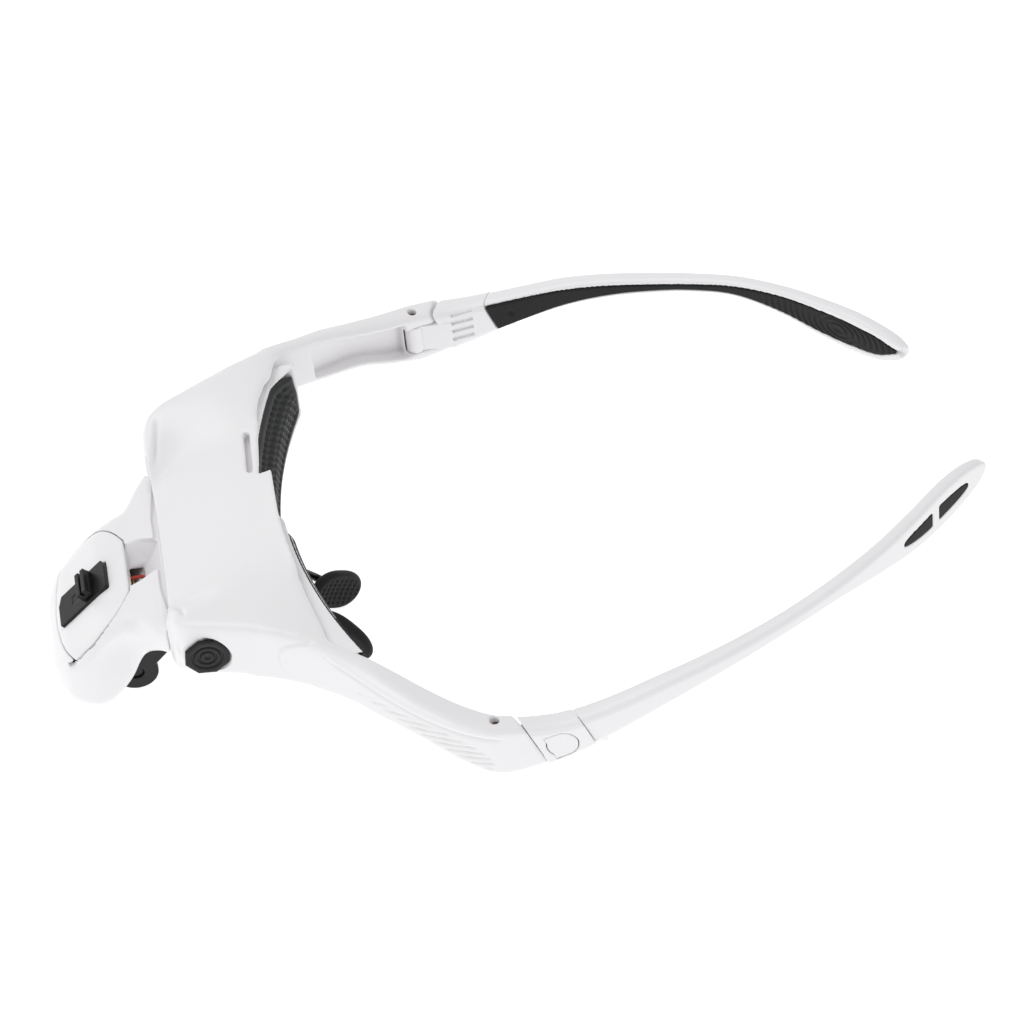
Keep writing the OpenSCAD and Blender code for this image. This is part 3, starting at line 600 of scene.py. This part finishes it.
def build_nose():
    housing = nose_solid(0, 9)
    cut(housing, nose_solid(0.8, 8.2, WALL))
    cut(housing, block((-40, -120, NOSE_SPLIT_Z - 40), (40, -60, NOSE_SPLIT_Z - NOSE_LAP)))
    cut(housing, prism(cover_outline(COVER_PLAY), -6, 14, on_nose()))
    join(housing, nose_heel(), lead_pocket())
    for turn in (Matrix.Identity(4), MIRROR):
        join(housing, prism([(8.4, -77.6), (28, -77.6), (28, -75.3)], -4.4, 1, turn))
    cut(housing, pocket_room(), block((-3.6, -84.6, -12), (3.4, -80.8, -5)))
    cut(housing, lamp_room())
    for turn in (Matrix.Identity(4), MIRROR):
        cut(housing, block((15.6, 8, -2.4), (20, 10.6, -1.4), turn @ on_nose()))
    mould(housing, 0.3, 5)
    sculpt(housing, nose_relief)
    place(housing, white, "white_shell", "lamp_housing")

    base = nose_solid(3, 8.6)
    floor_cut = block((-200, -200, -60), (200, 200, 0))
    transform(floor_cut, UNSEAT @ Matrix.Scale(MM, 4))
    cut(base, block((-60, -140, NOSE_SPLIT_Z + NOSE_LAP), (60, -40, 20)), floor_cut)
    cut(base, lamp_room())
    for x in (-12, 12):
        cut(base, rod(1.9, (x, -99, -36), (x, -99, -30)))
    mould(base, 0.3, 4)
    place(base, white, "white_shell", "lamp_base")

    cover = nose_solid(1, 9)
    combine(cover, "INTERSECT", prism(cover_outline(-0.12), -3.2, 11, on_nose()))
    cut(cover, block((-4.9, -8.4, -5), (4.8, 9.4, 12), on_nose()))
    mould(cover, 0.22, 5)
    place(cover, white, "white_shell", "battery_cover")


def build_switch():
    corners = [(-5.1, -8.2), (-4.7, -8.7), (2.8, -8.7), (5, -7.7),
               (5, 8.4), (2.2, 9.7), (-4.6, 9.7), (-5.1, 9.2)]
    plate = prism(corners, -1.6, 0.55, on_nose())
    cut(plate, block((-1.5, -4.4, 0.4), (1.5, 4.4, 2), on_nose()))
    mould(plate, 0.13, 4)
    place(plate, black_abs, "black_plastic", "switch_plate")

    middle, half_width = -2.0, 4
    knob = block((-1.1, middle - 1.5, 0.2), (1.1, middle + 1.5, 1), on_nose())
    join(knob, block((-half_width, middle - 1.8, 0.62), (half_width, middle + 1.8, 1.8), on_nose()))
    for y in (middle - 1.7, middle + 0.35):
        join(knob, block((-half_width, y, 0.9), (half_width, y + 1.35, 3.3), on_nose()))
    mould(knob, 0.12, 4)
    place(knob, black_abs, "black_plastic", "switch_knob")


def build_wires():
    """Two leads that sag between the battery bay and the hood."""
    wires = []
    for x in (-0.9, 0.9):
        sag = [(x, -88, -8.6), (x * 2, -84, -8.6), (x * 2, -80, -8.6), (x, -75, -6), (x, -72, -4.4)]
        path = curve(sag, np.linspace(0, len(sag) - 1, 60))
        around = circle(0.5, 16)
        rings = [np.stack([p[0] + around[:, 0], np.full(16, p[1]), p[2] + around[:, 1]], 1) for p in path]
        wires.append(loft(np.array(rings)))
    place(join(*wires), wire_red, "wire_red", "lead_wires")


# ---- brow ----------------------------------------------------------------------------------

def brow_y(x):
    return -44.2 + 6.9 * (np.abs(x) / 40) ** 2


def brow_lean(x, z):
    """How far the top of the brow leans: forward on the right, back a little on the left."""
    right = smooth((-x - 5.4) / 1.4) * (1 - smooth((-x - 42) / 9))
    left = smooth((x - 6) / 8)
    return (2.2 * left - 4.2 * right) * smooth((z - 3) / 7)


def brow_strip(x, front, rear, low, top):
    """Flat strip along the brow, between two depths at each x."""
    section = [(front, low), (rear, low), (rear, top), (front, top)]
    return loft(np.stack([np.stack([x, y, np.full(len(x), z)], 1) for y, z in section], 1))


def brow_rail():
    """The top of the brow, under the rear edge of the hood, bared on the left."""
    x = np.linspace(-50, 57, 160)
    rear = brow_y(x) + mix(-5.2, 1.0, smooth((x + 4) / 12))
    return brow_strip(x, brow_y(x) - 9, rear, 10.9, 12)


def build_brow_frame():
    brow = mould(from_cad("brow_frame"), 0.35, 4)
    points = np.empty(len(brow.data.vertices) * 3, np.float32)
    brow.data.vertices.foreach_get("co", points)
    points = points.reshape(-1, 3)
    points[:, 1] += brow_lean(points[:, 0], points[:, 2])
    brow.data.vertices.foreach_set("co", points.ravel())
    join(brow, mould(brow_rail(), 0.25, 2))
    place(brow, white, "white_shell", "brow_frame")


def cell_pattern(x, z):
    """Rows of small staggered cells, 0 on their walls and 1 in their middles."""
    pitch = 2.25
    row = np.round(z / (pitch * 0.87))
    dx = (x / pitch + 0.5 * (row % 2)) % 1 - 0.5
    dz = z / (pitch * 0.87) - row
    return np.clip(1.25 - 2.6 * np.hypot(dx, dz * 0.87), 0, 1)


def build_forehead_pad():
    half, thick, low, top_right, top_left = 49.4, 3.4, -5.2, 10.8, 11.9
    rows = 64
    rings = []
    for x in np.linspace(-half, half, 420):
        top = mix(top_right, top_left, smooth(x / 12))
        ends = math.sqrt(max(0.02, 1 - max(0, (abs(x) - half + 5) / 5.2) ** 2))
        middle = (low + top) / 2
        reach = (top - low) / 2 * mix(0.55, 1, ends)
        z = middle + np.linspace(-1, 1, rows) * reach
        edge = np.minimum(reach - np.abs(z - middle), half - abs(x))
        crown = 0.9 * (1 - smooth(edge / 1.6))
        field = smooth((edge - 2.2) / 0.8)
        depth = crown + 0.35 * field + 0.8 * field * cell_pattern(np.full(rows, x), z)
        skin = np.stack([np.full(rows, x), brow_y(x) - depth + brow_lean(x, z), z], 1)
        hidden = np.array([middle + reach - 0.3, middle - reach + 0.3])
        rear = np.stack([np.full(2, x), brow_y(x) - thick + brow_lean(x, hidden), hidden], 1)
        rings.append(np.concatenate([skin, rear]))
    x = np.linspace(44, 57, 30)
    face = brow_y(x) + brow_lean(x, top_left)
    lip = brow_strip(x, face - 2.4, face - 0.5, 10.2, top_left - 0.05)
    place(join(loft(np.array(rings)), lip), foam, "pad_foam", "forehead_pad")


# ---- lens pivots ---------------------------------------------------------------------------

def build_pivot_caps():
    """Octagonal caps with stepped rings, each with its pivot shaft."""
    sides = 96
    angle = np.arange(sides) * 2 * math.pi / sides
    wedge = (angle + math.pi / 8) % (math.pi / 4) - math.pi / 8
    octagon = (CAP_FLATS / 2) / np.cos(wedge)
    profile = [  # radius as a share of the octagon, height, how octagonal it is
        (0.02, 0.5, 0), (0.12, 0.5, 0), (0.14, 0.8, 0), (0.3, 0.8, 0), (0.33, 0.45, 0),
        (0.42, 0.45, 0), (0.45, 0.85, 0), (0.58, 0.88, 0), (0.61, 0.5, 0), (0.69, 0.52, 0),
        (0.73, 0.92, 0), (0.8, 1.0, 0.4), (0.88, 1.0, 1), (0.96, 0.92, 1), (1.0, 0.7, 1),
        (1.0, 0.12, 1), (0.98, 0, 1), (0.36, 0, 0), (0.36, -9.6, 0), (0.33, -9.7, 0)]
    rings = []
    for share, height, eight in profile:
        r = share * mix(np.full(sides, CAP_FLATS / 2), octagon, eight)
        rings.append(np.stack([r * np.cos(angle), r * np.sin(angle), np.full(sides, height)], 1))
    cap = loft(np.array(rings))
    outward = Matrix.Translation((BOSS_X[1] + 0.1, *PIVOT.yz)) @ Matrix.Rotation(math.pi / 2, 4, "Y")
    transform(cap, outward @ CAP_TURN)
    twin = copy_of(cap, MIRROR)
    pair = join(cap, twin)
    edge = pair.modifiers.new("edge", "BEVEL")
    edge.width = 0.08
    edge.segments = 2
    edge.limit_method = "ANGLE"
    apply(pair)
    place(pair, black_abs, "black_plastic", "pivot_caps")


# ---- temples -------------------------------------------------------------------------------

def temple_rings(s, a0, a1, low, top, r, steps=6):
    """Sections across the temple: a is measured inward from its middle."""
    k = curve(TEMPLE, s)
    n = side_normal(TEMPLE, s)
    width = (a1 - a0) * np.ones(len(s))
    p = rounded_outline(width, top * np.ones(len(s)), low * np.ones(len(s)), r * np.ones(len(s)), steps)
    across = p[:, :, 0] + (a0 * np.ones(len(s)))[:, None]
    return np.stack([k[:, :1] + across * n[:, :1], k[:, 1:2] + across * n[:, 1:2],
                     k[:, 2:3] + p[:, :, 1]], -1)


def insert_solid(start, end, grow, lift):
    s = np.linspace(start, end, 60)
    reach = np.where(s < INSERT_MIDDLE, INSERT_MIDDLE - INSERT[0], INSERT[1] - INSERT_MIDDLE)
    h = 2.3 * np.sqrt(np.clip(1 - ((s - INSERT_MIDDLE) / reach) ** 2, 0.004, 1)) + grow
    t = curve(TEMPLE, s)[:, 4]
    return loft(temple_rings(s, -t / 2 - lift, -t / 2 + 0.8 + grow, -h, h, 0.1, 2))


def insert_pair(grow, lift):
    first, last = INSERT[0] + 0.03, INSERT[1] - 0.03
    rib = 0.13                      # half the white rib between the two
    yield insert_solid(first, INSERT_MIDDLE - rib, grow, lift)
    yield insert_solid(INSERT_MIDDLE + rib, last, grow, lift)


def temple_body():
    s = np.linspace(0, 13, 220)
    k = curve(TEMPLE, s)
    temple = loft(temple_rings(s, -k[:, 4] / 2, k[:, 4] / 2, -k[:, 3], k[:, 3],
                               np.minimum(k[:, 4] / 3.1, k[:, 3] / 1.2), 8))
    combine(temple, "INTERSECT", behind_seam(TEMPLE_SEAM_Y + 0.08))
    cut(temple, *insert_pair(0.1, 1))
    t = curve(TEMPLE, s)[:, 4]
    h = curve(LINING_HALF, s)[:, 0] + 0.1
    cut(temple, loft(temple_rings(s, t / 2 - 1, t / 2 + 1, -h, h, 0.25, 2)))
    join(temple, block((PIN_X + 0.5, 10.6, -8.8), (PIN_X + 2.3, 27.6, -1.6)))
    return mould(temple, 0.32, 4)


def lining_relief(p, n):
    """Grip rings at the tip, spreading from one point, and a dimple near the link."""
    tip = curve(TEMPLE, np.array([9.6]))[0]
    r = np.sqrt((p[:, 0] - tip[0]) ** 2 + (p[:, 1] - tip[1]) ** 2 + 2.6 * (p[:, 2] - tip[2]) ** 2)
    field = smooth((p[:, 1] - 91) / 5)
    rings = 0.3 * np.abs(np.sin(math.pi * r / 1.9)) - 0.26
    dimple = -0.5 * np.exp(-(((p[:, 1] - 26.6) / 0.8) ** 2) - ((p[:, 2] + 1.8) / 0.8) ** 2)
    inward = smooth((-n[:, 0] * 0.6 - n[:, 1] * 0.6 - 0.3) / 0.3) + smooth((-n[:, 0] - 0.6) / 0.3)
    return np.clip(inward, 0, 1) * (field * rings + dimple)


def temple_lining():
    s = np.linspace(1, 12, 300)
    t = curve(TEMPLE, s)[:, 4]
    h = curve(LINING_HALF, s)[:, 0]
    lining = loft(temple_rings(s, t / 2 - 0.9, t / 2 + 0.06, -h, h - 0.15, 0.2, 2))
    combine(lining, "INTERSECT", behind_seam(TEMPLE_SEAM_Y + 0.4))
    mould(lining, 0.2, 3)
    return sculpt(lining, lining_relief)


def tip_inserts():
    first, second = insert_pair(0, 0)
    pair = join(first, second)
    return mould(pair, 0.16, 3)


def build_temples():
    parts = [(temple_body(), white, "white_shell", "temple"),
             (temple_lining(), rubber, "black_rubber", "temple_lining"),
             (tip_inserts(), rubber, "black_rubber", "tip_inserts")]
    for shape, material, slot, name in parts:
        for side in ("left", "right"):
            place(copy_of(shape, swing(side)), material, slot, f"{side}_{name}")
        bpy.data.objects.remove(shape)


def build_moulded():
    """CAD pieces whose shape is right: the same solid with soft moulded edges."""
    for node, voxel, rounds, material, slot in (
            ("brow_clips", 0.2, 3, white, "white_shell"),
            ("left_hinge_link", 0.16, 3, white, "white_shell"),
            ("right_hinge_link", 0.16, 3, white, "white_shell"),
            ("left_latch", 0.12, 6, white, "white_shell"),
            ("right_latch", 0.12, 6, white, "white_shell"),
            ("lamp_cradle", 0.22, 3, black_abs, "black_plastic"),
            ("lamp_barrel", 0.2, 3, black_abs, "black_plastic"),
            ("lens_carrier", 0.25, 3, black_abs, "black_plastic"),
            ("nose_bridge", 0.2, 4, black_abs, "black_plastic"),
            ("nose_stems", 0.16, 3, black_abs, "black_plastic")):
        place(mould(from_cad(node), voxel, rounds), material, slot, node)


# ---- nose pads -----------------------------------------------------------------------------

PAD_AT = Vector((8.5, -32.4, -31.7))
PAD_SIZE = (18, 11, 3)


def on_pad():
    """Axes on the left nose pad: x along it, z square to it, towards the nose."""
    turn = (Matrix.Rotation(math.radians(145.5), 4, "Z") @ Matrix.Rotation(math.radians(90), 4, "Y")
            @ Matrix.Rotation(math.radians(-53.1), 4, "Z"))
    return Matrix.Translation(PAD_AT) @ turn


def nose_pad():
    """Soft oval pad with round ribs on its face and two eyes behind it."""
    length, width, thick = PAD_SIZE
    a = np.arange(160) * 2 * math.pi / 160
    end = (length - width) / 2
    outline = np.stack([end * np.sign(np.cos(a)) * np.abs(np.cos(a)) ** 0.5 + width / 2 * np.cos(a),
                        width / 2 * np.sin(a)], 1)
    outline[:, 0] *= (length / 2) / outline[:, 0].max()
    rings = [np.column_stack([outline * 0.02, np.full(len(a), -thick / 2)])]
    for turn in np.linspace(-90, 90, 15):
        c, t = math.cos(math.radians(turn)), math.sin(math.radians(turn))
        inset = 1 - (1 - c) * 0.2
        rings.append(np.column_stack([outline * inset, np.full(len(a), t * thick / 2)]))
    for share in np.linspace(0.78, 0.02, 46):
        rings.append(np.column_stack([outline * share, np.full(len(a), thick / 2)]))
    pad = loft(np.array(rings))

    def ribs(p, n):
        r = np.hypot(p[:, 0] * width / length, p[:, 1])
        face = smooth((n[:, 2] - 0.6) / 0.3) * smooth((width / 2 - 0.9 - r) / 0.5)
        crown = -0.35 * smooth(1 - r / 5)
        dimple = np.hypot((p[:, 0] / 1.9) % 1 - 0.5, 0.7 * ((p[:, 1] / 1.3) % 1 - 0.5))
        return face * (crown - 0.4 * np.clip(1.2 - 3.2 * dimple, 0, 1))

    sculpt(pad, ribs)
    for side in (-1, 1):
        eye = rod(1.2, (0, side * 1.85, -2.95), (0, side * 2.85, -2.95), 48)
        web = block((-1.2, side * 2.35 - 0.5, -2.95), (1.2, side * 2.35 + 0.5, -1.3))
        join(pad, eye, web)
    return transform(pad, on_pad())


def build_nose_pads():
    pad = nose_pad()
    place(copy_of(pad, MIRROR), rubber, "black_rubber", "nose_pad_right")
    place(pad, rubber, "black_rubber", "nose_pad_left")


# ---- CAD pieces that stay ------------------------------------------------------------------

def dress_cad():
    for node, material in (
            ("coin_cells", steel), ("battery_clip", brass), ("circuit_board", board),
            ("switch_body", steel), ("lamp_leds", led),
            ("lamp_window", clear), ("lens_plate", clear), ("pivot_washers", steel),
            ("left_hinge_pin", pin_steel), ("right_hinge_pin", pin_steel), ("housing_screws", steel),
            ("brow_screws", steel)):
        mesh = frame["nodes"][node].data
        mesh.materials.clear()
        mesh.materials.append(material)


# ---- floor, light and camera ---------------------------------------------------------------

def build_stage():
    floor = new_object("floor", [(-4, -4, 0), (4, -4, 0), (4, 4, 0), (-4, 4, 0)], [(0, 1, 2, 3)])
    floor.location.z = -0.0005
    material = bpy.data.materials.new("floor_white")
    material.use_nodes = True
    shader = material.node_tree.nodes["Principled BSDF"]
    shader.inputs["Base Color"].default_value = (0.5, 0.5, 0.5, 1)
    shader.inputs["Roughness"].default_value = 0.9
    shader.inputs["Specular IOR Level"].default_value = 0
    shader.inputs["Emission Color"].default_value = (1, 1, 1, 1)
    shader.inputs["Emission Strength"].default_value = 0.85
    floor.data.materials.append(material)

    world = bpy.data.worlds.new("studio")
    world.use_nodes = True
    world.node_tree.nodes["Background"].inputs["Color"].default_value = (1, 1, 1, 1)
    world.node_tree.nodes["Background"].inputs["Strength"].default_value = 0.7
    scene.world = world

    for name, place_at, size, power in (("key", (-0.25, -0.5, 0.9), 0.7, 2.8),
                                        ("fill", (0.8, 0.1, 0.6), 0.8, 0.3)):
        lamp = bpy.data.lights.new(name, "AREA")
        lamp.size = size
        lamp.energy = power
        light = bpy.data.objects.new(name, lamp)
        light.location = place_at
        light.rotation_euler = (-Vector(place_at)).to_track_quat("-Z", "Y").to_euler()
        scene.collection.objects.link(light)


def build_camera():
    """Long lens from the wearer's left, well above, as the visor lies on a table."""
    azimuth, elevation, roll = (math.radians(v) for v in (85.832, 45, 6.274))
    distance = 1205.86
    aim = Vector((0, 15.5, -5.24))
    back = Vector((math.sin(azimuth) * math.cos(elevation),
                   -math.cos(azimuth) * math.cos(elevation), math.sin(elevation)))
    right = Vector((math.cos(azimuth), math.sin(azimuth), 0))
    up = back.cross(right)
    across = math.cos(roll) * right - math.sin(roll) * up
    upward = math.sin(roll) * right + math.cos(roll) * up
    turn = Matrix((across, upward, back)).transposed().to_4x4()
    camera = bpy.data.objects.new("camera", bpy.data.cameras.new("camera"))
    camera.data.sensor_width = 36
    camera.data.lens = 163.5
    camera.data.clip_start = 0.01
    camera.data.clip_end = 20
    at = Matrix.Translation((aim + back * distance) * MM)
    lean = Matrix.Translation(origin) @ Matrix.Rotation(TILT, 4, "X")
    camera.matrix_world = lean @ at @ turn
    scene.collection.objects.link(camera)
    scene.camera = camera
    scene.view_settings.view_transform = "Standard"


build_hood()
build_nose()
build_switch()
build_wires()
build_forehead_pad()
build_brow_frame()
build_pivot_caps()
build_temples()
build_moulded()
build_nose_pads()
dress_cad()
build_stage()
build_camera()
